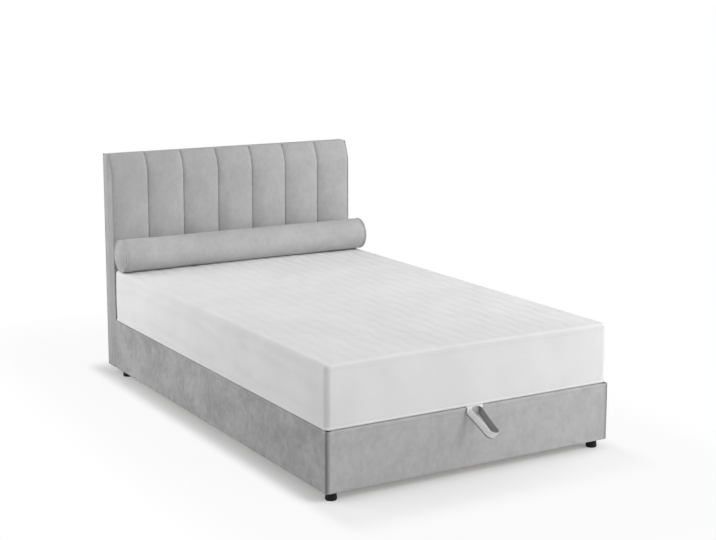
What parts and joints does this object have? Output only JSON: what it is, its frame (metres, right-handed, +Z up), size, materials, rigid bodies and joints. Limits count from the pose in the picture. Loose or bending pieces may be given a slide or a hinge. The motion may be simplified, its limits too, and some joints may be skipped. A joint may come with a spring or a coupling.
{
  "type": "box spring bed",
  "caption": "Upholstered storage box spring bed with lift-up mattress base, channelled headboard, bolster and pull strap.",
  "frame": {"origin": "on the floor, under the middle of the whole bed from the strap's tip to the headboard's back", "axes": "+Y from the foot end to the headboard, +X to the right seen from the foot end, +Z up"},
  "size_m": [1.29, 2.277, 1.045],
  "materials": {
    "velvet": "soft grey velvet upholstery",
    "mattress_cloth": "white quilted mattress cloth",
    "foam": "polyurethane foam",
    "spring_pockets": "non-woven pockets around wire springs",
    "felt": "dark felt",
    "webbing": "grey woven webbing",
    "board": "raw particle board and softwood",
    "panel": "thin fibreboard",
    "steel": "zinc plated steel",
    "black_steel": "black powder coat",
    "chrome_rod": "polished piston rod",
    "black_plastic": "black moulded plastic"
  },
  "bodies": {
    "box": {"side_board_left": "board", "side_board_right": "board", "foot_board": "board", "head_end_board": "board", "side_cover_left": "velvet", "side_cover_right": "velvet", "foot_cover": "velvet", "corner_blocks": "board", "floor_battens": "board", "floor_rail": "board", "floor_panel_left": "panel", "floor_panel_right": "panel", "corner_glides": "black_plastic", "centre_glide": "black_plastic", "box_screws": "steel", "fitting_screws": "steel", "pivot_plate_left": "steel", "pivot_plate_right": "steel", "guide_plate_left": "steel", "guide_plate_right": "steel", "pivot_pins": "steel", "gas_studs_box": "steel", "headboard_pad": "velvet", "headboard_base_pad": "velvet", "headboard_border": "velvet", "headboard_back": "felt", "headboard_core": "board", "headboard_rails": "board", "headboard_posts": "board", "headboard_bolts": "steel"},
    "lift_arms": {"arm_left": "steel", "arm_right": "steel"},
    "lid": {"lid_side_left": "board", "lid_side_right": "board", "lid_foot_rail": "board", "lid_head_rail": "board", "lid_battens": "board", "lid_springs": "spring_pockets", "lid_cover": "felt", "lid_bracket_left": "steel", "lid_bracket_right": "steel", "lid_pins": "steel", "mattress_top": "mattress_cloth", "mattress_cover": "mattress_cloth", "mattress_foams": "foam", "mattress_edge_foam": "foam", "mattress_springs": "spring_pockets", "gas_studs_lid": "steel", "guide_pins": "steel", "pull_strap": "webbing", "strap_clamp": "steel", "clamp_screws": "steel"},
    "gas_cylinders": {"gas_cylinder_left": "black_steel", "gas_cylinder_right": "black_steel"},
    "gas_rods": {"gas_rod_left": "chrome_rod", "gas_rod_right": "chrome_rod"},
    "bolster": {"bolster_cover": "velvet", "bolster_fill": "foam"}
  },
  "joints": [
    {"name": "arm_swing", "type": "hinge", "parent": "box", "child": "lift_arms", "pos_m": [0, 0.41251, 0.114], "axis": [1, 0, 0], "range_deg": [0, 85.1]},
    {"name": "lid_tilt", "type": "hinge", "parent": "lift_arms", "child": "lid", "pos_m": [0, 0.71351, 0.2025], "axis": [-1, 0, 0], "range_deg": [0, 125.2]},
    {"name": "gas_swing", "type": "hinge", "parent": "box", "child": "gas_cylinders", "pos_m": [0, 0.18651, 0.18], "axis": [1, 0, 0], "range_deg": [0, 73.5]},
    {"name": "gas_pull", "type": "slide", "parent": "gas_cylinders", "child": "gas_rods", "axis": [0, -0.9994, -0.0354], "range_m": [0, 0.1105]},
    {"name": "bolster_lift", "type": "slide", "parent": "lid", "child": "bolster", "axis": [0, 0, 1], "range_m": [0, 0.15]}
  ],
  "couplings": [
    {"joint": "lid_tilt", "follows": "arm_swing", "ratio": 1.47},
    {"joint": "gas_swing", "follows": "arm_swing", "ratio": 0.862},
    {"joint": "gas_pull", "follows": "arm_swing", "m_per_rad": 0.0742}
  ]
}
